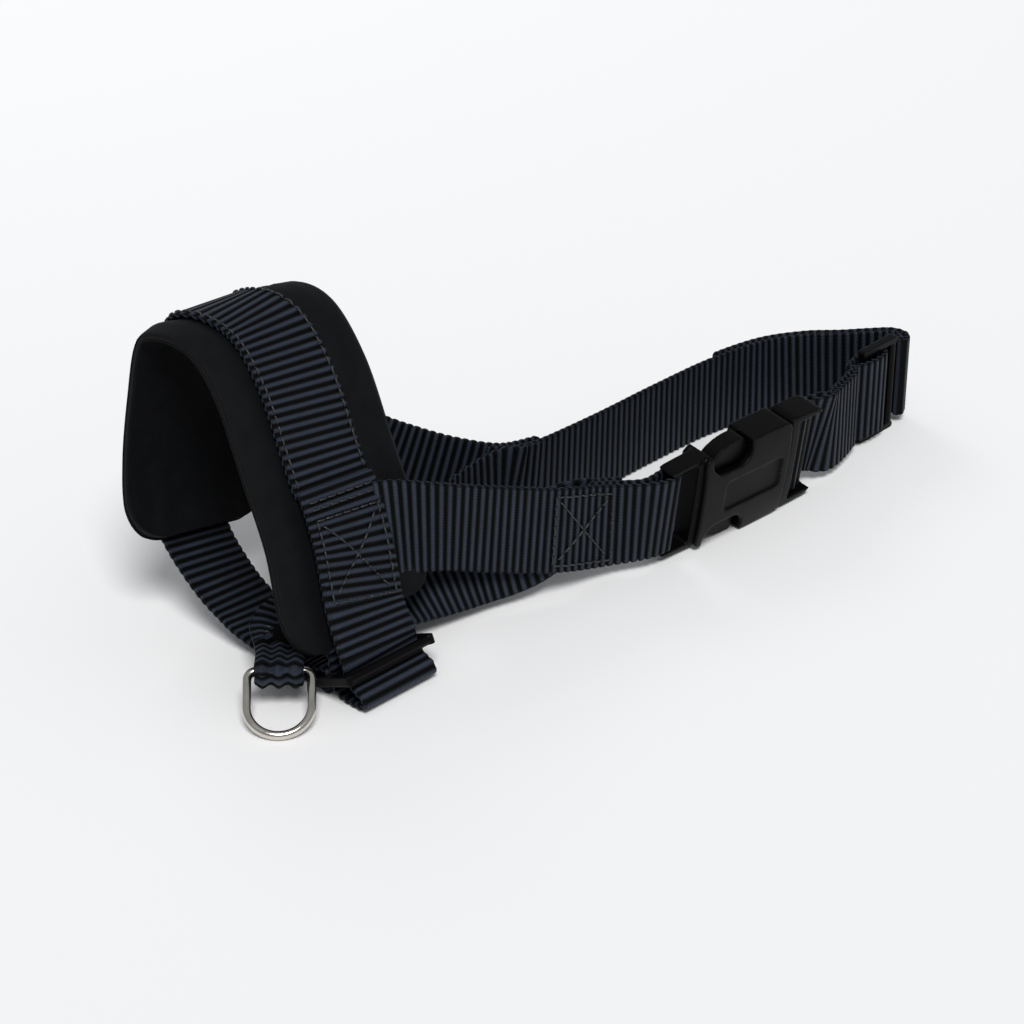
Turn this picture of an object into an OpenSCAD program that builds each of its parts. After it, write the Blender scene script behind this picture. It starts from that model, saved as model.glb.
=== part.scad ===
// Head halter for a dog: padded nose loop, cheek and neck straps of ribbed webbing,
// two sliders, a side-release buckle and a lead ring. Lying as it rests on a table.
// Millimetres, +Z up, +X from the nose loop towards the neck.

/* [Overall] */
// Length from the nose loop's foot to the turned end of the neck strap
halter_length = 219; // [180:1:280]
// Width across the nose loop, near foot to far side
loop_width = 78; // [62:1:100]
// Height of the nose loop above the table
loop_height = 82; // [66:1:105]

/* [Webbing] */
// Width of all webbing
web_w = 25; // [20:0.5:30]
// Thickness of the webbing
web_t = 1.6; // [1.2:0.1:2]

/* [Nose pad] */
// Pad in front of the web
pad_front = 11; // [7:0.5:16]
// Pad behind the web
pad_rear = 12.5; // [7:0.5:18]
// Thickness of each jersey face
jersey_t = 0.5; // [0.3:0.1:0.8]
// Thickness of the foam core
foam_t = 2.4; // [1.5:0.1:4]
// Radius of the pad's corners
pad_corner = 11; // [5:0.5:14]
// Height of the pad's near end above the foot of the web
pad_foot = 11; // [8:1:22]
// How much higher the pad's near end is at the back
pad_skew = 7; // [0:0.5:10]

/* [Lead ring] */
// Wire diameter
ring_wire = 2.3; // [1.8:0.1:3]
// Clear width inside the ring
ring_inner = 13.8; // [11:0.2:18]
// Length of the straight legs
ring_leg = 10; // [6:0.5:12]

/* [Sliders] */
// Diameter of a slider's bars
bar_d = 2.6; // [2:0.1:3.2]
// Width of each end of a slider, beyond the webbing
slider_end = 2; // [1.6:0.1:4]

/* [Buckle] */
// Thickness of the closed buckle
buckle_t = 11.5; // [10:0.5:14]
// Wall beside the webbing
buckle_wall = 2.6; // [2.2:0.1:4]
// Length of the socket's frame for the webbing
frame_len = 12; // [10.5:0.5:16]
// Length of the socket's body
socket_len = 32.5; // [28:0.5:40]
// Length of the plug's base, with its two web slots
base_len = 13; // [12.5:0.5:18]

/* [Stitching] */
// Thickness of the thread
thread_d = 0.5; // [0.3:0.1:0.7]
// Length of a stitch
stitch_len = 2.4; // [1.8:0.1:3.2]

/* [Hidden] */

web_color = [0.07, 0.075, 0.09];
pad_color = [0.05, 0.055, 0.065];
plastic_color = [0.1, 0.1, 0.11];
thread_color = [0.12, 0.12, 0.14];
nickel_color = [0.78, 0.77, 0.74];

gap = 0.2;              // between layers sewn together
fit_gap = 0.3;          // between hardware and webbing
step_len = 4;           // spacing of rings along a web
kx = halter_length / 219;
ky = loop_width / 78;
kz = loop_height / 82;

// ---- vectors and smooth routes ----------------------------------------------------------
function unit(v) = v / norm(v);
function place(p) = [p[0] * kx, p[1] * ky, p[2] * kz];
function mix(a, b, t) = a * (1 - t) + b * t;
function turned(v, a) = [v[0] * cos(a) - v[1] * sin(a), v[0] * sin(a) + v[1] * cos(a), v[2]];
function knot(p, i) = p[max(0, min(len(p) - 1, i))];
// A smooth curve through all the points of p, n steps between each two
function smooth(p, n) = [for (i = [0 : len(p) - 2]) for (j = [0 : n - 1])
    let (t = j / n, a = knot(p, i - 1), b = p[i], c = p[i + 1], d = knot(p, i + 2))
    0.5 * (2 * b + (c - a) * t + (2 * a - 5 * b + 4 * c - d) * t * t
      + (3 * b - a - 3 * c + d) * t * t * t), p[len(p) - 1]];
// A station is [point, direction across the web]; a route is a smooth list of stations
function route(stations, n = 6) =
  let (c = smooth([for (s = stations) s[0]], n), w = smooth([for (s = stations) s[1]], n))
  [for (i = [0 : len(c) - 1]) [c[i], w[i]]];
// A frame is [point, across, outward]; outward is across x along
// (square = 1; less lets the webbing lie a little out of square, as cloth does)
function frames(r, square = 1) = [for (i = [0 : len(r) - 1])
    let (along = unit(knot(r, i + 1)[0] - knot(r, i - 1)[0]),
      across = unit(r[i][1] - along * (along * r[i][1]) * square))
    [r[i][0], across, unit(cross(across, along))]];
function lengths(f, i = 0, sum = 0) = i >= len(f) ? [] :
  let (s = i == 0 ? 0 : sum + norm(f[i][0] - f[i - 1][0])) concat([s], lengths(f, i + 1, s));
function frame_at(f, l, s) =
  let (k = min(len(f) - 2, max([for (i = [0 : len(f) - 2]) l[i] <= s ? i : 0])),
    t = (s - l[k]) / (l[k + 1] - l[k]))
  [for (j = [0 : 2]) mix(f[k][j], f[k + 1][j], t)];
// Frames from s0 to s1 along a route, about step_len apart
function stretch(f, s0, s1, step = step_len) =
  let (l = lengths(f), n = max(2, round((s1 - s0) / step)))
  [for (i = [0 : n]) frame_at(f, l, s0 + (s1 - s0) * i / n)];
function total(f) = let (l = lengths(f)) l[len(l) - 1];
// A point given across (a) and outward (b) of a frame
function point_of(f, a, b) = f[0] + f[1] * a + f[2] * b;
function bevel(t) = min(0.35, t / 4);

// ---- solids made from routes ------------------------------------------------------------
// Closed skin over equal rings of points, with flat ends
module skin(rings) {
  n = len(rings[0]);
  m = len(rings);
  polyhedron(
    points = [for (r = rings) for (p = r) p],
    faces = concat(
      [[for (i = [n - 1 : -1 : 0]) i]],
      [for (k = [0 : m - 2]) for (i = [0 : n - 1]) for (h = [0, 1])
        let (a = k * n + i, b = k * n + (i + 1) % n)
        h == 0 ? [a, b, a + n] : [b, b + n, a + n]],
      [[for (i = [0 : n - 1]) (m - 1) * n + i]]),
    convexity = 12);
}
// A flat strip along frames f from a0 to a1 across and t thick, centred b outward
module strip(f, a0, a1, t, b = 0) {
  e = bevel(t);
  skin([for (q = f) [
    point_of(q, a0 + e, b + t / 2), point_of(q, a0, b + t / 2 - e),
    point_of(q, a0, b - t / 2 + e), point_of(q, a0 + e, b - t / 2),
    point_of(q, a1 - e, b - t / 2), point_of(q, a1, b - t / 2 + e),
    point_of(q, a1, b + t / 2 - e), point_of(q, a1 - e, b + t / 2)]]);
}
module web(f, b = 0) strip(f, -web_w / 2, web_w / 2, web_t, b);
// How far the pad's side is drawn in, d from its end
function drawn_in(d) = d >= pad_corner ? 0 :
  pad_corner - sqrt(max(0, pad_corner * pad_corner - pow(pad_corner - d, 2)));
// Stitches along frames f, at a across and b outward, one for each pair of frames
module stitches(f, a, b) {
  for (i = [0 : 2 : len(f) - 2])
    skin([for (q = [f[i], f[i + 1]]) [for (c = [[-1, -1], [1, -1], [1, 1], [-1, 1]])
      point_of(q, a + c[0] * thread_d / 2, b + c[1] * thread_d / 2)]]);
}
// Stitches in a straight line between two places [s, a] on a route
module stitch_line(f, p, q, b) {
  l = lengths(f);
  n = max(1, floor(norm(q - p) / (stitch_len * 1.35)));
  for (i = [0 : n - 1]) {
    e = [for (k = [0.13, 0.87]) mix(p, q, (i + k) / n)];
    side = unit([-(q - p)[1], (q - p)[0]]) * thread_d / 2;
    skin([for (g = e) [for (c = [[-1, -1], [1, -1], [1, 1], [-1, 1]])
      let (o = g + side * c[0], h = frame_at(f, l, o[0]))
      point_of(h, o[1], b + c[1] * thread_d / 2)]]);
  }
}
// A box of stitches with a cross in it
module box_stitch(f, s0, s1, a0, a1, b) {
  c = [[s0, a0], [s1, a0], [s1, a1], [s0, a1]];
  for (i = [0 : 3]) stitch_line(f, c[i], c[(i + 1) % 4], b);
  stitch_line(f, mix(c[0], c[2], 0.1), mix(c[0], c[2], 0.9), b);
  for (k = [[0.1, 0.44], [0.56, 0.9]]) stitch_line(f, mix(c[1], c[3], k[0]), mix(c[1], c[3], k[1]), b);
}

// ---- places of the hardware -------------------------------------------------------------
layer = web_t + gap;                    // one sewn layer on another
bar_r = bar_d / 2;
wrap_r = bar_r + fit_gap + web_t / 2;   // web's middle round a bar
slider_pitch = bar_r + 2 * fit_gap + web_t + wrap_r + web_t / 2 - 0.1;
slider_half = web_w / 2 + fit_gap + slider_end;
buckle_w = web_w + 2 * buckle_wall;
socket_end = frame_len + socket_len;
plug_end = socket_end + base_len;
buckle_turn = -2;
buckle_lean = 8;                        // its top leans outwards
buckle_rest = buckle_w / 2 * cos(buckle_lean) + buckle_t / 2 * sin(buckle_lean) + 0.05;
buckle_foot = place([106, -7, 0]);
function in_buckle(x, side = 0) = buckle_foot + [0, 0, buckle_rest]
  + turned([x, -side * cos(buckle_lean), -side * sin(buckle_lean)], buckle_turn);
buckle_down = turned([0, sin(buckle_lean), -cos(buckle_lean)], buckle_turn);
web_down = [0, 0, -1];

nose_slider_angle = -25;
nose_wrap = wrap_r + 0.2;
low_bar = place([12.5, 10.8, 0]) + [0, 0, nose_wrap + web_t / 2 + 0.1];   // bar nearest the chin web
mid_bar = low_bar - slider_pitch * [0, cos(nose_slider_angle), sin(nose_slider_angle)];
function round_bar(bar, r, a) = bar + r * [0, cos(a), sin(a)];

neck_rest = web_w / 2 + slider_end + fit_gap;   // middle of the web above the table
neck_slider_turn = 2;
neck_slider_at = place([203.8, -1.4, 0]) + [0, 0, neck_rest];
function in_neck(along, out) = neck_slider_at + turned([along, -out, 0], neck_slider_turn);

ring_tilt = 28;                         // the ring's tip rests on the table
ring_turn = 227;
ring_bend = ring_inner / 2 + ring_wire / 2;
ring_reach = ring_leg + ring_bend;
ring_bar = place([-11, 13.6, 0]) + [0, 0, ring_reach * sin(ring_tilt) + ring_wire / 2 + 0.1];
ring_axis = turned([0, 1, 0], ring_turn);
hug_r = ring_wire / 2 + fit_gap + web_t / 2;

// ---- routes of the webs -----------------------------------------------------------------
// Nose loop, from the near foot up, over, down the far side and along the chin
loop_points = [
  [[12, 1, 3], [1, 0, -0.05]], [[13, 9, 18], [0.98, -0.06, -0.18]], [[17.5, 19, 35], [0.97, -0.08, -0.2]],
  [[19.5, 30, 53], [0.98, -0.05, -0.15]], [[22, 42, 70], [0.99, 0, -0.08]], [[22.5, 54, 80.4], [1, 0.08, -0.02]],
  [[20, 67, 82], [1, 0.1, -0.08]], [[19, 76, 75.5], [1, 0.1, -0.14]], [[16, 78, 58], [0.97, 0.1, -0.2]],
  [[12, 77, 39], [0.97, 0.1, -0.22]], [[8, 70, 23], [0.96, 0.05, -0.28]], [[7, 58, 12], [0.95, 0.12, -0.25]],
  [[8, 46, 4.6], [0.95, 0.2, -0.2]], [[9.5, 34, 2.4], [0.98, 0.15, -0.1]], [[11.5, 23, 1.4], [1, 0.05, -0.02]]];
loop_stations = [for (p = loop_points) [place(p[0]), p[1]]];
chin_end = concat(
  [for (a = [-90, -135, 180, 135, 90]) [round_bar(low_bar, nose_wrap, a), [1, 0, 0]]],
  [[low_bar + [-0.3, 7, 0.8], [1, 0, 0]], [low_bar + [-0.8, 13, 0.3], [1, 0.02, 0]]]);
loop_f = frames(route(concat(loop_stations, chin_end)));
loop_l = lengths(loop_f);
foot_f = frames(route(loop_stations));
foot_l = lengths(foot_f);

pad_s0 = pad_foot;
tongue_s = 181;                         // where the web leaves the far end of the pad
seam_s = 51;                            // top edge of the tab
loop_k = total(foot_f) / 231;
pad_s1 = tongue_s * loop_k;
near_root_s = (seam_s - 2) * loop_k - web_w / 2;
far_root_s = 157 * loop_k;

function on_loop(s, a, b) = point_of(frame_at(foot_f, foot_l, s), a, b);
function up_loop(s) = unit(on_loop(s + 2, 0, 0) - on_loop(s - 2, 0, 0));
function across_loop(s) = frame_at(foot_f, foot_l, s)[1];

tab_top = seam_s * loop_k;
tab_stations = concat(
  [for (s = [tab_top, tab_top - 8, tab_top - 16, tab_top - 24, tab_top - 32])
    [on_loop(s, 0, layer), across_loop(s)]],
  [for (p = [[-1.8, 5.6], [-3.1, 1.8], [-5.6, -0.8], [-8.6, -2], [-9.6, -4.2], [-6.4, -5.1], [-1.6, -5],
    [1.4, -3.3]]) [mid_bar + [0, p[0], p[1]], [1, 0, 0]]],
  [[round_bar(mid_bar, wrap_r + 0.05, nose_slider_angle + 14), [1, 0, 0]],
   [mid_bar + [0, wrap_r + 0.7, 3.6], [1, 0, 0]], [mid_bar + [0, wrap_r + 1.4, 7.4], [1, 0, 0]]]);
tab_f = frames(route(tab_stations));

near_points = [[[44, 10.6, 29.6], [0.03, -0.08, -1]], [[59, 5.4, 24.8], [0.02, -0.06, -1]],
  [[75, 0.6, 20], [0.02, -0.04, -1]], [[90, -2.2, 16.4], [0.03, -0.02, -1]]];
near_stations = concat(
  [for (p = [[-9, 0, 0], [2, 0, 0], [13, 1, 0.35]])
    [on_loop(near_root_s, p[0], p[1]), mix(-up_loop(near_root_s), web_down, p[2])]],
  [for (p = near_points) [place(p[0]), p[1]]],
  [[in_buckle(-5, layer / 2 + 0.2), mix(web_down, buckle_down, 0.7)]]);
near_square = 0.4;
near_out_f = frames(route(near_stations), near_square);
near_out_l = lengths(near_out_f);
near_len = total(near_out_f);
socket_bar_x = bar_r + 0.4;
function round_socket_bar(a) = in_buckle(socket_bar_x + wrap_r * sin(a), wrap_r * cos(a));
near_back = [for (s = [2, 10, 18]) near_len - s];
near_f = frames(route(concat(near_stations,
  [for (a = [-8, 30, 60, 90, 120, 150, 188]) [round_socket_bar(a), buckle_down]],
  [for (s = near_back) let (q = frame_at(near_out_f, near_out_l, s)) [point_of(q, 0, -layer), q[1]]])), near_square);

far_points = [[[54, 66.5, 28.5], [0.1, 0.1, 1]], [[67, 53.5, 22], [0.12, 0, 1]],
  [[77, 42.4, 18], [0.08, 0, 1]], [[87, 35.4, 15.2], [0.04, 0, 1]], [[99, 33.2, 13.8], [0, 0, 1]]];
far_cheek_f = frames(route(concat(
  [for (a = [-9, 2, 13, 25]) [on_loop(far_root_s, a, layer), -up_loop(far_root_s)]],
  [for (p = far_points) [place(p[0]), p[1]]])));
far_cheek_l = lengths(far_cheek_f);
far_len = total(far_cheek_f);
function far_sewn(k, b) = point_of(frame_at(far_cheek_f, far_cheek_l, far_len - k), 0, b);

junction_s = near_len - 24;
function near_inner(s) = let (q = frame_at(near_out_f, near_out_l, s)) [point_of(q, 0, -2 * layer), q[1]];
ring_back = -turned([cos(ring_tilt), 0, 0], ring_turn);   // away from the ring, level
function hug(a) = ring_bar + hug_r * (cos(a) * unit(ring_back) + sin(a) * [0, 0, 1]);
control_stations = concat(
  [for (s = [near_len - 8, near_len - 16, junction_s]) near_inner(s)],
  [for (p = [[[67, 7.6, 16], [0, -0.3, -0.95]], [[55, 14.6, 13.4], [0, -0.62, -0.78]],
    [[42, 19.6, 11.2], [0, -0.86, -0.5]], [[28, 22.8, 9.6], [0, -0.97, -0.22]], [[13, 24.5, 8.6], [0, -1, -0.05]],
    [[1, 23.5, 8.4], [0.3, -0.95, 0]]]) [place(p[0]), p[1]]],
  [for (a = [-100, -150, -180, -210, -260]) [hug(a), -ring_axis]],
  [for (p = [[[1, 24.5, 12], [0.3, -0.95, 0]], [[14, 27.4, 11.6], [0, -1, 0.05]], [[28, 31, 11.8], [0, -0.97, 0.2]],
    [[42, 34, 12.4], [0, -0.85, 0.5]], [[55, 35, 13.4], [0, -0.6, 0.8]], [[68, 34.4, 14.4], [0, -0.2, 0.98]]])
    [place(p[0]), p[1]]],
  [for (k = [14, 7, 1]) [far_sewn(k, -2 * layer), [0, 0, 1]]]);
control_raw = frames(route(control_stations, 5));
// The web is gathered where it passes through the ring
function gather(p) = let (d = norm(p - ring_bar)) d > 26 ? 1 :
  let (k = (ring_inner - 1.4) / web_w, t = max(0, (d - 4) / 22)) k + (1 - k) * t * t * (3 - 2 * t);
control_f = [for (q = control_raw) [q[0], q[1] * gather(q[0]), q[2]]];

// Neck strap: from the slider round the turn and along the far side to its junction
ladder_bar = plug_end - bar_r - fit_gap * 2 - web_t - 2 * bar_r;   // inner web bar of the plug
end_bar = plug_end - bar_r;
weave = wrap_r + 0.05;
neck_points = [[214.8, -2.4, 0], [218.8, 0, 0], [218.2, 4.8, 0], [213.4, 9.6, -0.2], [207.4, 15.2, -0.6],
  [200, 23.2, -1.2], [188, 30.6, -1.9], [169, 33.8, -2.1], [147, 34.2, -2.1], [126, 33.6, -1.9], [112, 33.2, -1.5]];
neck_f = frames(route(concat(
  [[in_neck(slider_pitch / 2, -0.2), web_down], [in_neck(slider_pitch, -weave - 0.1), web_down],
   [in_neck(slider_pitch + 3.5, -weave - 0.2), web_down]],
  [for (p = neck_points) [place(p) + [0, 0, neck_rest], web_down]],
  [for (k = [0, 9, 18]) [far_sewn(k, 0), web_down]])));
neck_l = lengths(neck_f);
neck_len = total(neck_f);
tail_len = 78 * kx;
turn_len = 30;                          // the part that flexes when the slider is moved
strand_points = [[190, -4, 0], [176, -7.8, 0]];
function near_layer(side) = [for (p = strand_points) [place(p) + [0, -side * layer / 2, neck_rest], web_down]];
function reversed(v) = [for (i = [len(v) - 1 : -1 : 0]) v[i]];
strand_f = frames(route(concat(
  [[point_of(frame_at(neck_f, neck_l, 2.6), 0, -layer), web_down],
   [in_neck(0, -weave), web_down], [in_neck(-slider_pitch, -weave), web_down],
   [in_neck(-slider_pitch - 6, -layer / 2), web_down]],
  near_layer(-1),
  [[in_buckle(plug_end + 5, -weave - layer * 0.6), buckle_down], [in_buckle(end_bar, -weave - layer), buckle_down]],
  [for (a = [250, 200, 150, 90, 40, -5, -50])
    [in_buckle(ladder_bar - (wrap_r + 0.1) * cos(a), -(wrap_r + 0.1) * sin(a - 180)), buckle_down]],
  [[in_buckle(end_bar, -weave), buckle_down], [in_buckle(plug_end + 5, -weave + layer * 0.4), buckle_down]],
  reversed(near_layer(1)),
  [[in_neck(-slider_pitch - 6, layer / 2), web_down], [in_neck(-slider_pitch, weave), web_down],
   [in_neck(0, weave), web_down], [in_neck(slider_pitch / 2 - 0.4, 0.35), web_down]])));

// ---- origin: middle of the halter, on the table -----------------------------------------
mid_x = (halter_length - 24.9 * kx) / 2;
mid_y = 34.5 * ky;
module halter() translate([-mid_x, -mid_y, 0]) children();

// ---- nose loop --------------------------------------------------------------------------
// One layer of the pad, b0 to b1 inwards from the web, with round corners
module pad_layer(b0, b1, inset = 0) {
  n = round((pad_s1 - pad_s0) / 2.5);
  cols = 5;
  a0 = -web_w / 2 - pad_front + inset;
  a1 = web_w / 2 + pad_rear - inset;
  function pad_point(i, k, b) =
    let (end = pad_skew * k / cols + inset, t = i / n,
      s = pad_s0 + end + (pad_s1 - inset - pad_s0 - end) * t,
      d = drawn_in(min(t, 1 - t) * (pad_s1 - pad_s0)))
    point_of(frame_at(foot_f, foot_l, s), a0 + d + (a1 - a0 - 2 * d) * k / cols, b);
  skin([for (i = [0 : n]) concat(
    [for (k = [0 : cols]) pad_point(i, k, -b1)], [for (k = [cols : -1 : 0]) pad_point(i, k, -b0)])]);
}
pad_b = web_t / 2 + gap;
module pad_outer_face() color(pad_color) pad_layer(pad_b, pad_b + jersey_t);
module pad_foam() color("dimgray") pad_layer(pad_b + jersey_t, pad_b + jersey_t + foam_t, 0.4);
module pad_lining() color(pad_color) pad_layer(pad_b + jersey_t + foam_t, pad_b + 2 * jersey_t + foam_t);
web_top_s = tab_top - 1.2;
module nose_web() color(web_color) web(stretch(loop_f, web_top_s, total(loop_f), 3));
module adjuster_tab() color(web_color) web(stretch(tab_f, 0, total(tab_f), 2.4));

// ---- straps -----------------------------------------------------------------------------
module near_cheek_strap() color(web_color) web(stretch(near_f, 0, total(near_f), 3));
module far_cheek_strap() color(web_color) web(far_cheek_f);
module control_strap() color(web_color) web(control_f);
module neck_far_strap() color(web_color) web(stretch(neck_f, turn_len, neck_len), -layer - 0.1);
module neck_turn() color(web_color) web(stretch(neck_f, 10.5, turn_len - 0.1, 1), -layer - 0.1);
module neck_tail() color(web_color) web(stretch(neck_f, 0.8, tail_len, 1), 0.1);
module neck_near_strand() color(web_color) web(stretch(strand_f, 0, total(strand_f), 2.4));

// ---- sliders ----------------------------------------------------------------------------
// Three bars along Z between two ends; the middle bar is at the origin
module slider() color(plastic_color) {
  for (x = [-1 : 1]) translate([x * slider_pitch, 0, 0])
    cylinder(d = bar_d, h = 2 * slider_half - 1, center = true, $fn = 48);
  for (s = [-1, 1]) translate([0, 0, s * (slider_half - slider_end / 2)])
    rotate([90, 0, 0]) linear_extrude(bar_d, center = true) square_round(
      2 * slider_pitch + bar_d, slider_end, slider_end * 0.45);
}
module square_round(x, y, r) {
  square([x - 2 * r, y], center = true);
  square([x, y - 2 * r], center = true);
  for (i = [-1, 1]) for (j = [-1, 1]) translate([i * (x / 2 - r), j * (y / 2 - r)]) circle(r, $fn = 48);
}
module nose_slider() translate(mid_bar) rotate([nose_slider_angle, 0, 0])
  rotate([0, 90, 0]) rotate([0, 0, 90]) slider();
module neck_slider() translate(neck_slider_at) rotate([0, 0, neck_slider_turn]) slider();

// ---- lead ring --------------------------------------------------------------------------
module ring_wire_2d() circle(d = ring_wire, $fn = 48);
corner_r = 2.4;
module lead_ring() color(nickel_color) translate(ring_bar) rotate([0, 0, ring_turn]) rotate([0, ring_tilt, 0]) {
  rotate([90, 0, 0]) cylinder(d = ring_wire, h = 2 * (ring_bend - corner_r), center = true, $fn = 48);
  for (s = [-1, 1]) {
    translate([corner_r, s * (ring_bend - corner_r), 0]) rotate([0, 0, s > 0 ? 90 : 180])
      rotate_extrude(angle = 90, $fn = 96) translate([corner_r, 0]) ring_wire_2d();
    translate([corner_r, s * ring_bend, 0]) rotate([0, 90, 0])
      cylinder(d = ring_wire, h = ring_leg - corner_r, $fn = 48);
  }
  translate([ring_leg, 0, 0]) rotate([0, 0, -90])
    rotate_extrude(angle = 180, $fn = 96) translate([ring_bend, 0]) ring_wire_2d();
}

// ---- buckle -----------------------------------------------------------------------------
// Along X from the socket's frame to the plug's end, across Y, thick Z
module buckle_frame() translate(in_buckle(0)) rotate([0, 0, buckle_turn])
  rotate([90 + buckle_lean, 0, 0]) children();
prong_t = 6.2;
prong_w = 5;
channel_t = prong_t + 2 * fit_gap;
window_x0 = frame_len + 1.6;
window_len = 15;
window_x1 = window_x0 + window_len;
throat = web_w / 2 + 0.2;               // half of the cavity across
rail = (buckle_w - 2 * throat) / 2;
module slab(x0, x1, y0, y1, t, r = 0.01) translate([(x0 + x1) / 2, (y0 + y1) / 2, 0])
  linear_extrude(t, center = true) square_round(x1 - x0, y1 - y0, r);
module buckle_socket() color(plastic_color) buckle_frame() {
  difference() {
    union() {
      slab(frame_len - 1, socket_end, -buckle_w / 2, buckle_w / 2, buckle_t, 2.5);
      slab(0, frame_len + 3, -buckle_w / 2, buckle_w / 2, buckle_t - 4.5, 2);
    }
    slab(2 * socket_bar_x, frame_len - 2, -web_w / 2 - fit_gap, web_w / 2 + fit_gap, buckle_t, 1);
    slab(-1, 2 * socket_bar_x + 1, -web_w / 2 - fit_gap, web_w / 2 + fit_gap, buckle_t, 0.01);
    slab(frame_len + 1, socket_end + 1, -throat, throat, channel_t);
    for (s = [-1, 1]) slab(window_x0, window_x1, min(s * (throat - 6), s * buckle_w),
      max(s * (throat - 6), s * buckle_w), channel_t, 1);
    for (s = [-1, 1]) slab(window_x0, window_x1, min(s * (throat - 4.4), s * buckle_w),
      max(s * (throat - 4.4), s * buckle_w), buckle_t + 1, 4.5);
    for (s = [-1, 1]) translate([0, 0, s * buckle_t / 2])
      slab(window_x1 - 9, socket_end - 3, -throat + 8, throat - 8, 1.6, 1.5);
  }
  translate([socket_bar_x, 0, 0]) rotate([90, 0, 0])
    cylinder(d = bar_d, h = buckle_w - 2, center = true, $fn = 48);
}
plug_gap = 0.15;
module buckle_plug() color(plastic_color) buckle_frame() {
  difference() {
    slab(socket_end + plug_gap, plug_end, -buckle_w / 2, buckle_w / 2, buckle_t - 1, 2.2);
    slab(ladder_bar - bar_r - 2 * fit_gap - web_t, plug_end - 0.4, -web_w / 2 - fit_gap,
      web_w / 2 + fit_gap, buckle_t, 0.01);
    slab(end_bar, plug_end + 1, -web_w / 2 - fit_gap, web_w / 2 + fit_gap, buckle_t, 0.01);
  }
  for (x = [ladder_bar, end_bar]) translate([x, 0, 0]) rotate([90, 0, 0])
    cylinder(d = bar_d, h = buckle_w - 2, center = true, $fn = 48);
  slab(frame_len + 8, socket_end + 1, -2.2, 2.2, prong_t - 1, 1);
}
// A prong is rooted in the plug's base; its head stands in the window behind the latch shoulder
function arc(x, y, rx, ry, a0, a1) =
  [for (i = [0 : 6]) let (a = a0 + (a1 - a0) * i / 6) [x + rx * cos(a), y + ry * sin(a)]];
head_top = throat + rail + 0.3;
module prong(s) color(plastic_color) buckle_frame() mirror([0, s < 0 ? 1 : 0, 0])
  linear_extrude(prong_t, center = true) polygon(concat(
    [[socket_end, throat - 0.6], [window_x1 - 0.4, throat - 0.6]],
    arc(window_x1 - 2.7, head_top - 2, 2, 2, 0, 90),
    arc(window_x1 - 5, throat - 4.2, window_len - 6, head_top - throat + 4.2, 90, 180),
    [[window_x0 + 3, throat - 5.6], [window_x1, throat - 0.6 - prong_w + 1.4],
    [socket_end, throat - 0.6 - prong_w + 2]]));
module prong_upper() prong(1);
module prong_lower() prong(-1);

// ---- stitching --------------------------------------------------------------------------
on_web = web_t / 2 + thread_d / 2;
module edge_stitch(a) color(thread_color)
  stitches(stretch(foot_f, tab_top + 1, pad_s1 - 6, stitch_len * 0.75), a, on_web);
module pad_front_stitch() edge_stitch(-web_w / 2 + 1.6);
module pad_rear_stitch() edge_stitch(web_w / 2 - 1.6);
module seam_stitch() color(thread_color)
  for (d = [3, 5]) stitch_line(foot_f, [tab_top - d, -web_w / 2 + 2], [tab_top - d, web_w / 2 - 2], layer + on_web);
module tab_box_stitch() color(thread_color)
  box_stitch(foot_f, tab_top - 30, tab_top - 8, -web_w / 2 + 2.5, web_w / 2 - 2.5, layer + on_web);
module near_junction_stitch() color(thread_color)
  box_stitch(near_out_f, near_len - 30, near_len - 11, -web_w / 2 + 2.5, web_w / 2 - 2.5, on_web);
module far_junction_stitch() color(thread_color)
  box_stitch(far_cheek_f, far_len - 17, far_len - 1.5, -web_w / 2 + 2.5, web_w / 2 - 2.5, on_web);
module far_tongue_stitch() color(thread_color)
  for (d = [2, 4]) stitch_line(foot_f, [pad_s1 - d, -web_w / 2 + 2], [pad_s1 - d, web_w / 2 - 2], on_web);
module ring_tack() color(thread_color) {
  l = lengths(control_f);
  bar_s = l[5 * (3 + 6 + 2)];   // where the web turns round the ring
  for (d = [17, 19]) stitch_line(control_f, [bar_s + d, -web_w / 2 + 3], [bar_s + d, web_w / 2 - 3], on_web);
}

halter() pad_outer_face();
halter() pad_foam();
halter() pad_lining();
halter() nose_web();
halter() adjuster_tab();
halter() nose_slider();
halter() near_cheek_strap();
halter() far_cheek_strap();
halter() control_strap();
halter() lead_ring();
halter() neck_far_strap();
halter() neck_turn();
halter() neck_near_strand();
halter() neck_tail();
halter() neck_slider();
halter() buckle_socket();
halter() buckle_plug();
halter() prong_upper();
halter() prong_lower();
halter() pad_front_stitch();
halter() pad_rear_stitch();
halter() seam_stitch();
halter() tab_box_stitch();
halter() near_junction_stitch();
halter() far_junction_stitch();
halter() far_tongue_stitch();
halter() ring_tack();
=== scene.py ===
# %% [markdown]
# # A head halter of ribbed webbing
# The halter is strap work: every shape in it is a flat ribbon of nylon webbing that runs
# along a route and keeps its 25 mm width. So this lesson makes one good tool, a ribbon
# swept along a smooth route with its woven ribs as real geometry, and uses it for each
# strap. Round that come the foam pad, the moulded buckle and sliders, and the ring.

# %% Load the fixed frame
import math
import random

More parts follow.
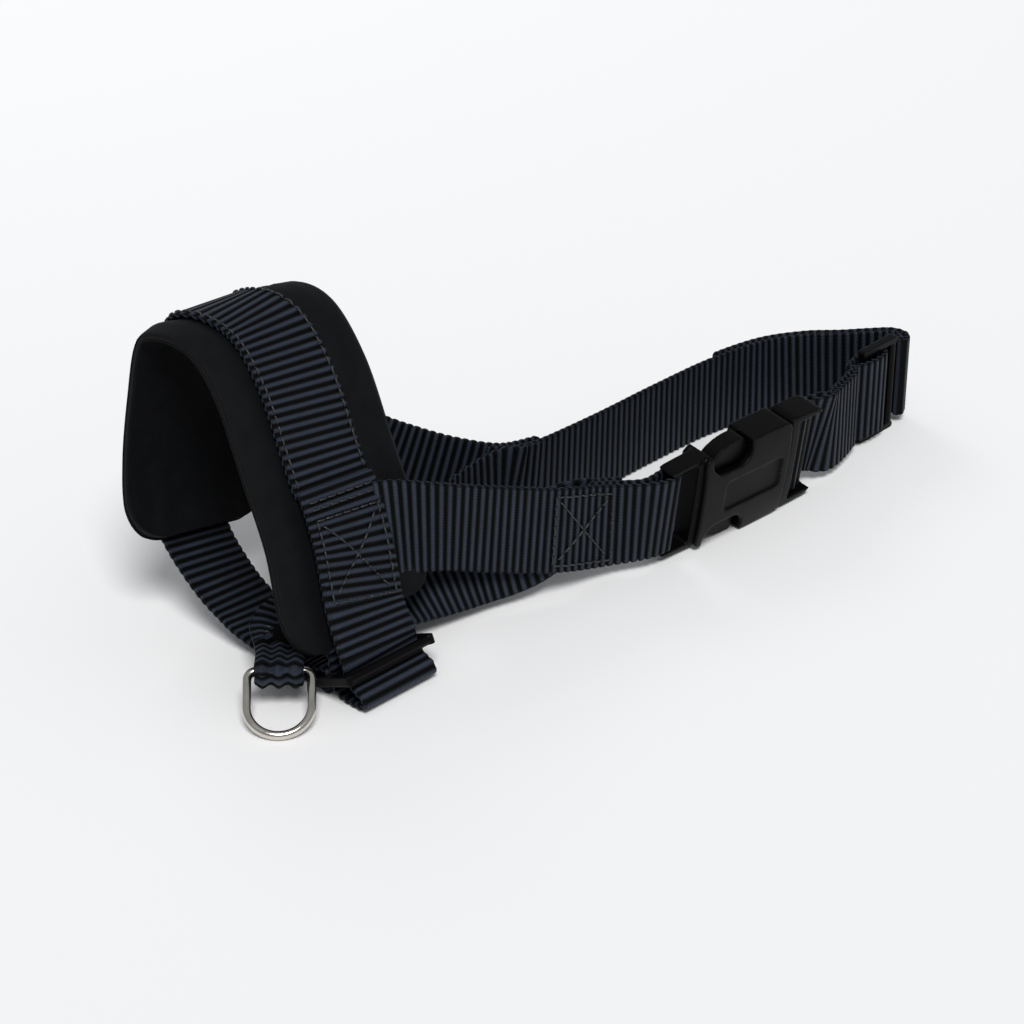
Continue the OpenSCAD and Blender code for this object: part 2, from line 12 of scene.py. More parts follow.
import bmesh
import bpy
import numpy as np
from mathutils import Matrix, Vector


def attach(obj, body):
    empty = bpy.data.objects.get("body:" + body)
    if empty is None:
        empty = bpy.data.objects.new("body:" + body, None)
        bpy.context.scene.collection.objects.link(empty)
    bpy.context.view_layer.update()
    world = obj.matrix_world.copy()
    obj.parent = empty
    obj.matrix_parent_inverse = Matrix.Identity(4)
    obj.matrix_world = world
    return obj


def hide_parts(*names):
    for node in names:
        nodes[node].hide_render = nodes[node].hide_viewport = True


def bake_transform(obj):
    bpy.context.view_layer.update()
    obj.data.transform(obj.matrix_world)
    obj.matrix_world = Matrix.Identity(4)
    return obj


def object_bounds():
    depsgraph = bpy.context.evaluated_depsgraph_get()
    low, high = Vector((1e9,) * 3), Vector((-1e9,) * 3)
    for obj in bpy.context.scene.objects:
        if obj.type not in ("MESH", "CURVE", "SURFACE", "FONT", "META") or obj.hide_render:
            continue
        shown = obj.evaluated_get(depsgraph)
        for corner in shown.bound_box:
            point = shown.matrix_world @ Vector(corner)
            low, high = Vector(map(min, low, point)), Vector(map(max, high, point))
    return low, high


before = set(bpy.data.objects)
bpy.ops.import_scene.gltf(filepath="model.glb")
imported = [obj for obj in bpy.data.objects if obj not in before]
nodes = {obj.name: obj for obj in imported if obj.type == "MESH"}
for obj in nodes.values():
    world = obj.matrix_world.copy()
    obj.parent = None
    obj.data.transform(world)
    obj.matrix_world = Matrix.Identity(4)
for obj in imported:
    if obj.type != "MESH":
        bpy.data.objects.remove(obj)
cad_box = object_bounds()

# %% [markdown]
# ## Units, colours and one helper for shader nodes
# Routes are easiest to think of in millimetres from the foot of the nose loop, so the
# stations below use that, and one function moves them into the frame in metres. Colours
# are the hex values a designer would pick on screen, which the shader needs in linear light.

# %% Small helpers
MID = np.array([97.05, 34.5, 0.0])          # middle of the halter, from the loop's foot


def to_frame(points):
    """Millimetres from the loop's foot to metres in the shared frame."""
    return (np.asarray(points, float) - MID) / 1000


def linear(code):
    """An sRGB hex colour as linear RGBA."""
    parts = [int(code[i:i + 2], 16) / 255 for i in (1, 3, 5)]
    return [p / 12.92 if p <= 0.04045 else ((p + 0.055) / 1.055) ** 2.4 for p in parts] + [1.0]


def add(tree, kind, settings=None, **links):
    """Adds a shader node. Keys of settings are its properties or its inputs' names."""
    made = tree.nodes.new(kind)
    for key, value in (settings or {}).items():
        if isinstance(key, str) and hasattr(made, key):
            setattr(made, key, value)
        else:
            made.inputs[key].default_value = value
    for key, source in links.items():
        name = key.replace("_", " ")
        tree.links.new(source, made.inputs[int(key[1:])] if key[1:].isdigit() else made.inputs[name])
    return made


def new_material(name, settings):
    """A material with its Principled shader set, ready for links."""
    material = bpy.data.materials.new(name)
    material.use_nodes = True
    shader = material.node_tree.nodes["Principled BSDF"]
    for key, value in settings.items():
        shader.inputs[key].default_value = value
    return material, material.node_tree, shader


def finish_with(tree, shader, **sources):
    """Links sources to the shader's sockets of those names."""
    for key, source in sources.items():
        tree.links.new(source, shader.inputs[key.replace("_", " ")])


# %% [markdown]
# ## Nylon webbing
# This is a warp-faced ribbed webbing: a thick weft cord lies across under each rib, and
# many thin black yarns run lengthwise over it. The ribs, about 2.3 mm apart, are modelled.
# The yarns, about 0.45 mm apart, are too fine for geometry, so a band pattern in the bump draws them, running
# over the ribs. The base colour is painted light: slate grey on the rib and yarn crests is a painted
# highlight, and near black in the grooves is painted shade.

# %% Material: nylon webbing
YARN_MM = 0.45
RIB_MM = 2.3


def nylon_webbing():
    material, tree, shader = new_material("nylon_webbing", {
        "Roughness": 0.5, "IOR": 1.53, "Sheen Weight": 0.02, "Sheen Roughness": 0.4,
        "Sheen Tint": linear("#8f9cb3"), "Specular IOR Level": 0.1})
    where = add(tree, "ShaderNodeUVMap", {"uv_map": "cloth_mm"}).outputs["UV"]
    ribs = add(tree, "ShaderNodeTexWave", {"bands_direction": "Y", "Scale": 0.314 / RIB_MM}, Vector=where)
    yarns = add(tree, "ShaderNodeTexWave", {
        "bands_direction": "X", "Scale": 0.314 / YARN_MM, "Distortion": 1.2, "Detail": 2.0,
        "Detail Scale": 1.5}, Vector=where)
    speckle = add(tree, "ShaderNodeTexNoise", {"Scale": 2.4, "Detail": 4.0, "Roughness": 0.7}, Vector=where)
    patches = add(tree, "ShaderNodeTexNoise", {"Scale": 0.12, "Detail": 3.0}, Vector=where)
    threads = add(tree, "ShaderNodeMath", {"operation": "MULTIPLY_ADD", 1: 0.5},
                  _0=yarns.outputs["Fac"], _2=speckle.outputs["Fac"])
    # Crest mask: the ramp below paints a slate-grey highlight on rib and yarn crests and near-black shade in
    # the grooves.
    painted_crest_light = add(tree, "ShaderNodeMath", {"operation": "MULTIPLY"},
                _0=threads.outputs[0], _1=ribs.outputs["Fac"])
    ramp = add(tree, "ShaderNodeValToRGB", None, Fac=painted_crest_light.outputs[0])
    ramp.color_ramp.elements[0].position = 0.22
    ramp.color_ramp.elements[0].color = linear("#020203")
    ramp.color_ramp.elements[1].position = 0.95
    ramp.color_ramp.elements[1].color = linear("#3f4756")
    tone = add(tree, "ShaderNodeMix", {"data_type": "RGBA", "blend_type": "MULTIPLY", 0: 0.4},
               _6=ramp.outputs["Color"], _7=patches.outputs["Fac"])
    rough = add(tree, "ShaderNodeMapRange", {"To Min": 0.75, "To Max": 0.4}, Value=painted_crest_light.outputs[0])
    bump = add(tree, "ShaderNodeBump", {"Strength": 0.55, "Distance": 0.00012}, Height=threads.outputs[0])
    finish_with(tree, shader, Base_Color=tone.outputs[2], Roughness=rough.outputs["Result"],
                Normal=bump.outputs["Normal"])
    return material


WEBBING = nylon_webbing()

# %% [markdown]
# ## Jersey, foam and thread
# The pad is a sheet of foam with a thin nylon jersey bonded to both faces, as on a wetsuit. Jersey is matt,
# with knit loops well under a millimetre apart, and its fuzz shows as sheen at grazing angles. The foam shows
# only at the cut edge, as tiny pores, painted darker in their pits: painted shade. The thread is bonded
# polyester, black and a little shinier than the webbing; its twist is painted lighter on the ridges and
# darker in the grooves, a painted highlight and painted shade.

# %% Materials: jersey, foam, thread
KNIT_MM = 0.6


def nylon_jersey():
    material, tree, shader = new_material("nylon_jersey", {
        "Roughness": 0.75, "IOR": 1.5, "Sheen Weight": 0.03, "Sheen Roughness": 0.5,
        "Sheen Tint": linear("#8f98a8"), "Specular IOR Level": 0.14})
    where = add(tree, "ShaderNodeUVMap", {"uv_map": "cloth_mm"}).outputs["UV"]
    courses = add(tree, "ShaderNodeTexWave", {
        "bands_direction": "Y", "Scale": 0.314 / KNIT_MM, "Distortion": 3.0, "Detail": 1.0}, Vector=where)
    wales = add(tree, "ShaderNodeTexWave", {
        "bands_direction": "X", "Scale": 0.314 / KNIT_MM, "Distortion": 2.0, "Detail": 1.0}, Vector=where)
    loops = add(tree, "ShaderNodeMath", {"operation": "MULTIPLY"},
                _0=courses.outputs["Fac"], _1=wales.outputs["Fac"])
    cloud = add(tree, "ShaderNodeTexNoise", {"Scale": 0.18, "Detail": 5.0}, Vector=where)
    ramp = add(tree, "ShaderNodeValToRGB", None, Fac=cloud.outputs["Fac"])
    ramp.color_ramp.elements[0].position = 0.3
    ramp.color_ramp.elements[0].color = linear("#050607")
    ramp.color_ramp.elements[1].position = 0.75
    ramp.color_ramp.elements[1].color = linear("#0b0c0f")
    bump = add(tree, "ShaderNodeBump", {"Strength": 0.35, "Distance": 0.00008}, Height=loops.outputs[0])
    finish_with(tree, shader, Base_Color=ramp.outputs["Color"], Normal=bump.outputs["Normal"])
    return material


def pad_foam_rubber():
    material, tree, shader = new_material("foam_rubber", {"Roughness": 0.9, "IOR": 1.45})
    where = add(tree, "ShaderNodeTexCoord").outputs["Object"]
    pores = add(tree, "ShaderNodeTexVoronoi", {"Scale": 2200.0}, Vector=where)
    # Darker in the pore pits, lighter on the cell walls: painted shade.
    ramp = add(tree, "ShaderNodeValToRGB", None, Fac=pores.outputs["Distance"])
    ramp.color_ramp.elements[0].color = linear("#050506")
    ramp.color_ramp.elements[1].color = linear("#121315")
    bump = add(tree, "ShaderNodeBump", {"Strength": 0.5, "Distance": 0.0001},
               Height=pores.outputs["Distance"])
    finish_with(tree, shader, Base_Color=ramp.outputs["Color"], Normal=bump.outputs["Normal"])
    return material


def bonded_thread():
    material, tree, shader = new_material("bonded_thread", {
        "Roughness": 0.42, "IOR": 1.57, "Sheen Weight": 0.08, "Sheen Tint": linear("#aab3c0")})
    where = add(tree, "ShaderNodeTexCoord").outputs["Object"]
    twist = add(tree, "ShaderNodeTexWave", {
        "bands_direction": "DIAGONAL", "Scale": 700.0, "Distortion": 1.0}, Vector=where)
    # Lighter on the twist's ridges and darker in its grooves: a painted highlight and painted shade.
    ramp = add(tree, "ShaderNodeValToRGB", None, Fac=twist.outputs["Fac"])
    ramp.color_ramp.elements[0].color = linear("#060709")
    ramp.color_ramp.elements[1].color = linear("#1d1f26")
    bump = add(tree, "ShaderNodeBump", {"Strength": 0.5, "Distance": 0.00006}, Height=twist.outputs["Fac"])
    finish_with(tree, shader, Base_Color=ramp.outputs["Color"], Normal=bump.outputs["Normal"])
    return material


JERSEY = nylon_jersey()
FOAM = pad_foam_rubber()
THREAD = bonded_thread()

# %% [markdown]
# ## Acetal and nickel plate
# Side-release buckles are injection-moulded acetal: tough, slightly waxy, with a satin face from the
# spark-eroded mould. Their sharp edges and corners are coloured a lighter grey, a painted highlight. The ring
# is bent steel wire with bright nickel plate, warmer than chrome, with hairline wear.

# %% Materials: acetal and nickel plate
GRIT_MM = 0.22


def moulded_acetal(name, face, painted_edge_colour):
    material, tree, shader = new_material(name, {
        "IOR": 1.48, "Specular IOR Level": 0.09, "Coat Weight": 0.02, "Coat Roughness": 0.2})
    where = add(tree, "ShaderNodeTexCoord").outputs["Object"]
    grit = add(tree, "ShaderNodeTexNoise", {"Scale": 1000 / GRIT_MM / 2, "Detail": 2.0}, Vector=where)
    cloud = add(tree, "ShaderNodeTexNoise", {"Scale": 90.0, "Detail": 4.0}, Vector=where)
    edge = add(tree, "ShaderNodeNewGeometry").outputs["Pointiness"]
    # Pointiness picks the sharp edges, which get the lighter colour: a painted highlight.
    painted_edge_mask = add(tree, "ShaderNodeMapRange", {"From Min": 0.51, "From Max": 0.6}, Value=edge)
    colour = add(tree, "ShaderNodeMix", {"data_type": "RGBA", 6: linear(face), 7: linear(painted_edge_colour)},
                 _0=painted_edge_mask.outputs["Result"])
    rough = add(tree, "ShaderNodeMapRange", {
        "From Min": 0.3, "From Max": 0.7, "To Min": 0.33, "To Max": 0.46}, Value=cloud.outputs["Fac"])
    bump = add(tree, "ShaderNodeBump", {"Strength": 0.22, "Distance": 0.00004}, Height=grit.outputs["Fac"])
    finish_with(tree, shader, Base_Color=colour.outputs[2], Roughness=rough.outputs["Result"],
                Normal=bump.outputs["Normal"])
    return material


def nickel_plate():
    material, tree, shader = new_material("nickel_plated_steel", {
        "Metallic": 1.0, "Base Color": linear("#d9d4ca")})
    where = add(tree, "ShaderNodeTexCoord").outputs["Object"]
    haze = add(tree, "ShaderNodeTexNoise", {"Scale": 260.0, "Detail": 5.0}, Vector=where)
    hairlines = add(tree, "ShaderNodeTexNoise", {"Scale": 1400.0, "Detail": 2.0, "Distortion": 2.0},
                    Vector=where)
    rough = add(tree, "ShaderNodeMapRange", {
        "From Min": 0.3, "From Max": 0.7, "To Min": 0.1, "To Max": 0.24}, Value=haze.outputs["Fac"])
    tint = add(tree, "ShaderNodeValToRGB", None, Fac=haze.outputs["Fac"])
    tint.color_ramp.elements[0].color = linear("#c9c3b8")
    tint.color_ramp.elements[1].color = linear("#e6e2da")
    bump = add(tree, "ShaderNodeBump", {"Strength": 0.12, "Distance": 0.00002},
               Height=hairlines.outputs["Fac"])
    finish_with(tree, shader, Base_Color=tint.outputs["Color"], Roughness=rough.outputs["Result"],
                Normal=bump.outputs["Normal"])
    return material


# The second colour of each is the painted highlight on the sharp edges.
BUCKLE_ACETAL = moulded_acetal("moulded_acetal_buckle", "#040405", "#15171a")
SLIDER_ACETAL = moulded_acetal("moulded_acetal_slider", "#050506", "#17191d")
NICKEL = nickel_plate()
print("materials:", [m.name for m in bpy.data.materials])

# %% [markdown]
# ## Routes
# A strap's route is a short list of stations: a point on the strap's middle and the
# direction across its width. A Catmull-Rom curve through them gives a smooth middle line,
# and at each step a little frame of three directions: across, along and outward. The
# stations repeat the ones that the frame's solids were made from, so cloth and solid agree.

# %% Smooth routes and their frames
def unit(v):
    return v / np.linalg.norm(v, axis=-1, keepdims=True)


def smooth(points, n=24):
    p = np.asarray(points, float)
    p = np.vstack([p[:1], p, p[-1:]])
    t = (np.arange(n) / n)[:, None]
    runs = [0.5 * (2 * b + (c - a) * t + (2 * a - 5 * b + 4 * c - d) * t ** 2
                   + (3 * b - a - 3 * c + d) * t ** 3) for a, b, c, d in zip(p, p[1:], p[2:], p[3:])]
    return np.vstack(runs + [p[-1:]])


class Route:
    """A smooth strip of cloth frames, read by the distance along it in millimetres."""

    def __init__(self, stations, square=1.0):
        self.mid = smooth([s[0] for s in stations])
        wanted = smooth([s[1] for s in stations])
        padded = np.vstack([self.mid[:1], self.mid, self.mid[-1:]])
        along = unit(padded[2:] - padded[:-2])
        self.across = unit(wanted - along * (along * wanted).sum(1, keepdims=True) * square)
        self.out = unit(np.cross(self.across, along))
        steps = np.linalg.norm(np.diff(self.mid, axis=0), axis=1)
        self.length_at = np.concatenate([[0], np.cumsum(steps)])
        self.length = self.length_at[-1]
        self.width_at = np.ones(len(self.mid))

    def read(self, s):
        """Middle points, across and outward directions, and width factors at distances s."""
        def pick(values):
            return np.stack([np.interp(s, self.length_at, values[:, k]) for k in range(3)], axis=-1)
        return (pick(self.mid), unit(pick(self.across)), unit(pick(self.out)),
                np.interp(s, self.length_at, self.width_at))

    def point(self, s, a=0.0, b=0.0):
        mid, across, out, _ = self.read(np.atleast_1d(float(s)))
        return (mid + across * a + out * b)[0]

    def across_at(self, s):
        return self.read(np.atleast_1d(float(s)))[1][0]


def turned(v, degrees):
    c, s = math.cos(math.radians(degrees)), math.sin(math.radians(degrees))
    return np.array([v[0] * c - v[1] * s, v[0] * s + v[1] * c, v[2]])


def round_x(bar, r, degrees):
    """A point at that angle round a bar that lies along X."""
    c, s = math.cos(math.radians(degrees)), math.sin(math.radians(degrees))
    return bar + r * np.array([0, c, s])


# %% Sizes shared with the frame, in millimetres
WEB_W, WEB_T = 25.0, 1.6
GAP, FIT = 0.2, 0.3
LAYER = WEB_T + GAP
BAR_D = 2.6
BAR_R = BAR_D / 2
WRAP_R = BAR_R + FIT + WEB_T / 2
PITCH = BAR_R + 2 * FIT + WEB_T + WRAP_R + WEB_T / 2 - 0.1
UP = np.array([0, 0, 1.0])
DOWN = -UP
X = np.array([1.0, 0, 0])

# %% Route: nose loop and chin
NOSE_SLIDER_ANGLE = -25
NOSE_WRAP = WRAP_R + 0.2
low_bar = np.array([12.5, 10.8, NOSE_WRAP + WEB_T / 2 + 0.1])
mid_bar = low_bar - PITCH * np.array(
    [0, math.cos(math.radians(NOSE_SLIDER_ANGLE)), math.sin(math.radians(NOSE_SLIDER_ANGLE))])
LOOP = [
    [[12, 1, 3], [1, 0, -0.05]], [[13, 9, 18], [0.98, -0.06, -0.18]], [[17.5, 19, 35], [0.97, -0.08, -0.2]],
    [[19.5, 30, 53], [0.98, -0.05, -0.15]], [[22, 42, 70], [0.99, 0, -0.08]],
    [[22.5, 54, 80.4], [1, 0.08, -0.02]], [[20, 67, 82], [1, 0.1, -0.08]], [[19, 76, 75.5], [1, 0.1, -0.14]],
    [[16, 78, 58], [0.97, 0.1, -0.2]], [[12, 77, 39], [0.97, 0.1, -0.22]], [[8, 70, 23], [0.96, 0.05, -0.28]],
    [[7, 58, 12], [0.95, 0.12, -0.25]], [[8, 46, 4.6], [0.95, 0.2, -0.2]],
    [[9.5, 34, 2.4], [0.98, 0.15, -0.1]], [[11.5, 23, 1.4], [1, 0.05, -0.02]]]
chin_end = [[round_x(low_bar, NOSE_WRAP, a), X] for a in (-90, -135, 180, 135, 90)] + [
    [low_bar + [-0.3, 7, 0.8], X], [low_bar + [-0.8, 13, 0.3], [1, 0.02, 0]]]
loop = Route(LOOP + chin_end)
foot = Route(LOOP)
LOOP_K = foot.length / 231
PAD_S0, PAD_S1 = 11.0, 181 * LOOP_K
TAB_TOP = 51 * LOOP_K
print(f"nose loop {loop.length:.0f} mm of webbing, pad {PAD_S1 - PAD_S0:.0f} mm long")

# %% Route: adjuster tab
tab = Route(
    [[foot.point(TAB_TOP - d, 0, LAYER), foot.across_at(TAB_TOP - d)] for d in (0, 8, 16, 24, 32)]
    + [[mid_bar + [0, y, z], X] for y, z in (
        (-1.8, 5.6), (-3.1, 1.8), (-5.6, -0.8), (-8.6, -2), (-9.6, -4.2), (-6.4, -5.1),
        (-1.6, -5), (1.4, -3.3))]
    + [[round_x(mid_bar, WRAP_R + 0.05, NOSE_SLIDER_ANGLE + 14), X],
       [mid_bar + [0, WRAP_R + 0.7, 3.6], X], [mid_bar + [0, WRAP_R + 1.4, 7.4], X]])

# %% Route: buckle places and near cheek strap
BUCKLE_T, BUCKLE_WALL, FRAME_LEN, SOCKET_LEN, BASE_LEN = 11.5, 2.6, 12.0, 32.5, 13.0
BUCKLE_W = WEB_W + 2 * BUCKLE_WALL
SOCKET_END = FRAME_LEN + SOCKET_LEN
PLUG_END = SOCKET_END + BASE_LEN
BUCKLE_TURN, BUCKLE_LEAN = -2, 8
LEAN_C, LEAN_S = math.cos(math.radians(BUCKLE_LEAN)), math.sin(math.radians(BUCKLE_LEAN))
buckle_origin = np.array([106, -7, BUCKLE_W / 2 * LEAN_C + BUCKLE_T / 2 * LEAN_S + 0.05])
buckle_down = turned([0, LEAN_S, -LEAN_C], BUCKLE_TURN)


def in_buckle(x, side=0.0):
    """A point x along the buckle and side outwards from its middle plane."""
    return buckle_origin + turned([x, -side * LEAN_C, -side * LEAN_S], BUCKLE_TURN)


NEAR_ROOT = 49 * LOOP_K - WEB_W / 2
loop_up = unit(foot.point(NEAR_ROOT + 2) - foot.point(NEAR_ROOT - 2))
near_out_stations = [
    [foot.point(NEAR_ROOT, a, b), -loop_up * (1 - m) + DOWN * m]
    for a, b, m in ((-9, 0, 0), (2, 0, 0), (13, 1, 0.35))] + [
    [[44, 10.6, 29.6], [0.03, -0.08, -1]], [[59, 5.4, 24.8], [0.02, -0.06, -1]],
    [[75, 0.6, 20], [0.02, -0.04, -1]], [[90, -2.2, 16.4], [0.03, -0.02, -1]],
    [in_buckle(-5, LAYER / 2 + 0.2), DOWN * 0.3 + buckle_down * 0.7]]
NEAR_SQUARE = 0.4
near_out = Route(near_out_stations, NEAR_SQUARE)
SOCKET_BAR = BAR_R + 0.4


def round_socket_bar(degrees):
    a = math.radians(degrees)
    return in_buckle(SOCKET_BAR + WRAP_R * math.sin(a), WRAP_R * math.cos(a))


near = Route(near_out_stations + [
    [round_socket_bar(a), buckle_down] for a in (-8, 30, 60, 90, 120, 150, 188)] + [
    [near_out.point(near_out.length - s, 0, -LAYER), near_out.across_at(near_out.length - s)]
    for s in (2, 10, 18)], NEAR_SQUARE)

# %% Route: far cheek strap
FAR_ROOT = 157 * LOOP_K
far_up = unit(foot.point(FAR_ROOT + 2) - foot.point(FAR_ROOT - 2))
far = Route([[foot.point(FAR_ROOT, a, LAYER), -far_up] for a in (-9, 2, 13, 25)] + [
    [[54, 66.5, 28.5], [0.1, 0.1, 1]], [[67, 53.5, 22], [0.12, 0, 1]], [[77, 42.4, 18], [0.08, 0, 1]],
    [[87, 35.4, 15.2], [0.04, 0, 1]], [[99, 33.2, 13.8], UP]])

# %% Route: control strap, through the ring
RING_WIRE, RING_INNER, RING_LEG = 2.3, 13.8, 10.0
RING_TILT, RING_TURN = 28, 227
RING_BEND = RING_INNER / 2 + RING_WIRE / 2
ring_bar = np.array([-11, 13.6,
                     (RING_LEG + RING_BEND) * math.sin(math.radians(RING_TILT)) + RING_WIRE / 2 + 0.1])
ring_axis = turned([0, 1, 0], RING_TURN)
ring_back = -turned([1, 0, 0], RING_TURN)
HUG_R = RING_WIRE / 2 + FIT + WEB_T / 2


def hug(degrees):
    a = math.radians(degrees)
    return ring_bar + HUG_R * (math.cos(a) * ring_back + math.sin(a) * UP)


control = Route(
    [[near_out.point(near_out.length - s, 0, -2 * LAYER), near_out.across_at(near_out.length - s)]
     for s in (8, 16, 24)]
    + [[[67, 7.6, 16], [0, -0.3, -0.95]], [[55, 14.6, 13.4], [0, -0.62, -0.78]],
       [[42, 19.6, 11.2], [0, -0.86, -0.5]], [[28, 22.8, 9.6], [0, -0.97, -0.22]],
       [[13, 24.5, 8.6], [0, -1, -0.05]], [[1, 23.5, 8.4], [0.3, -0.95, 0]]]
    + [[hug(a), -ring_axis] for a in (-100, -150, -180, -210, -260)]
    + [[[1, 24.5, 12], [0.3, -0.95, 0]], [[14, 27.4, 11.6], [0, -1, 0.05]],
       [[28, 31, 11.8], [0, -0.97, 0.2]], [[42, 34, 12.4], [0, -0.85, 0.5]],
       [[55, 35, 13.4], [0, -0.6, 0.8]], [[68, 34.4, 14.4], [0, -0.2, 0.98]]]
    + [[far.point(far.length - k, 0, -2 * LAYER), UP] for k in (14, 7, 1)])
NARROW = (RING_INNER - 1.4) / WEB_W
ring_far = np.clip((np.linalg.norm(control.mid - ring_bar, axis=1) - 4) / 22, 0, 1)
control.width_at = NARROW + (1 - NARROW) * ring_far ** 2 * (3 - 2 * ring_far)

# %% Route: neck strap
SLIDER_END = 2.0
NECK_REST = WEB_W / 2 + SLIDER_END + FIT
neck_slider_at = np.array([203.8, -1.4, NECK_REST])


def in_neck(along, out):
    return neck_slider_at + turned([along, -out, 0], 2)


WEAVE = WRAP_R + 0.05
LADDER_BAR = PLUG_END - BAR_R - FIT * 2 - WEB_T - 2 * BAR_R
END_BAR = PLUG_END - BAR_R
neck = Route(
    [[in_neck(PITCH / 2, -0.2), DOWN], [in_neck(PITCH, -WEAVE - 0.1), DOWN],
     [in_neck(PITCH + 3.5, -WEAVE - 0.2), DOWN]]
    + [[np.array(p) + UP * NECK_REST, DOWN] for p in (
        [214.8, -2.4, 0], [218.8, 0, 0], [218.2, 4.8, 0], [213.4, 9.6, -0.2], [207.4, 15.2, -0.6],
        [200, 23.2, -1.2], [188, 30.6, -1.9], [169, 33.8, -2.1], [147, 34.2, -2.1], [126, 33.6, -1.9],
        [112, 33.2, -1.5])]
    + [[far.point(far.length - k), DOWN] for k in (0, 9, 18)])


def near_layer(side):
    return [[np.array(p) + [0, -side * LAYER / 2, NECK_REST], DOWN] for p in ([190, -4, 0], [176, -7.8, 0])]


def round_ladder(degrees):
    a = math.radians(degrees)
    r = WRAP_R + 0.1
    return in_buckle(LADDER_BAR - r * math.cos(a), -r * math.sin(a - math.pi))


strand = Route(
    [[neck.point(2.6, 0, -LAYER), DOWN], [in_neck(0, -WEAVE), DOWN], [in_neck(-PITCH, -WEAVE), DOWN],
     [in_neck(-PITCH - 6, -LAYER / 2), DOWN]] + near_layer(-1)
    + [[in_buckle(PLUG_END + 5, -WEAVE - LAYER * 0.6), buckle_down],
       [in_buckle(END_BAR, -WEAVE - LAYER), buckle_down]]
    + [[round_ladder(a), buckle_down] for a in (250, 200, 150, 90, 40, -5, -50)]
    + [[in_buckle(END_BAR, -WEAVE), buckle_down],
       [in_buckle(PLUG_END + 5, -WEAVE + LAYER * 0.4), buckle_down]]
    + near_layer(1)[::-1]
    + [[in_neck(-PITCH - 6, LAYER / 2), DOWN], [in_neck(-PITCH, WEAVE), DOWN], [in_neck(0, WEAVE), DOWN],
       [in_neck(PITCH / 2 - 0.4, 0.35), DOWN]])
print(f"control strap {control.length:.0f} mm, neck strap {neck.length:.0f} mm")
print(f"near strand {strand.length:.0f} mm")

# %% [markdown]
# ## A ribbed ribbon
# The ribs could be a bump, but the webbing is seen at grazing angles and its edges show
# each rib as a small step, so they are geometry. Each ring of the sweep is a flat oval
# with round selvedges. Its thickness swells and dips once for every rib: half an ellipse
# for each rib, which leaves sharp valleys between round cords, as on the real weave.

# %% Build ribbons of webbing
RIB_DEPTH = 0.55
RINGS_PER_RIB = 8
FACE_COLUMNS = 18
EDGE_POINTS = 5
random.seed(7)


def add_mesh(name, vertices, faces, material, uvs=None):
    """A mesh object in the scene, smooth shaded, with cloth millimetres as its UV map."""
    mesh = bpy.data.meshes.new(name)
    mesh.from_pydata([tuple(v) for v in vertices], [], faces)
    mesh.materials.append(material)
    mesh.polygons.foreach_set("use_smooth", [True] * len(mesh.polygons))
    if uvs is not None:
        layer = mesh.uv_layers.new(name="cloth_mm")
        corner = np.zeros(len(mesh.loops), int)
        mesh.loops.foreach_get("vertex_index", corner)
        layer.data.foreach_set("uv", np.asarray(uvs, float)[corner].ravel())
    made = bpy.data.objects.new(name, mesh)
    bpy.context.scene.collection.objects.link(made)
    return made


def ring_faces(rows, ring, first=0):
    """Quads between rows of rings, outwards for rings that turn clockwise seen from the start."""
    k = np.arange(rows - 1)[:, None] * ring + first
    i = np.arange(ring)[None, :]
    j = (i + 1) % ring
    quads = np.stack([k + i, k + j, k + ring + j, k + ring + i], axis=-1)
    return quads.reshape(-1, 4).tolist()


def section(width, thick):
    """A flat oval: (across, outward) factors round one ring, up one face and down the other."""
    flat = np.linspace(-1, 1, FACE_COLUMNS)
    turn = np.linspace(0, math.pi, EDGE_POINTS + 2)[1:-1]
    half, r = width / 2, thick / 2
    top = [(x * (half - r), 1.0, 0.0) for x in flat]
    right = [(half - r, math.cos(t), math.sin(t)) for t in turn]
    under = [(-x * (half - r), -1.0, 0.0) for x in flat]
    left = [(-(half - r), -math.cos(t), -math.sin(t)) for t in turn]
    return np.array(top + right + under + left)


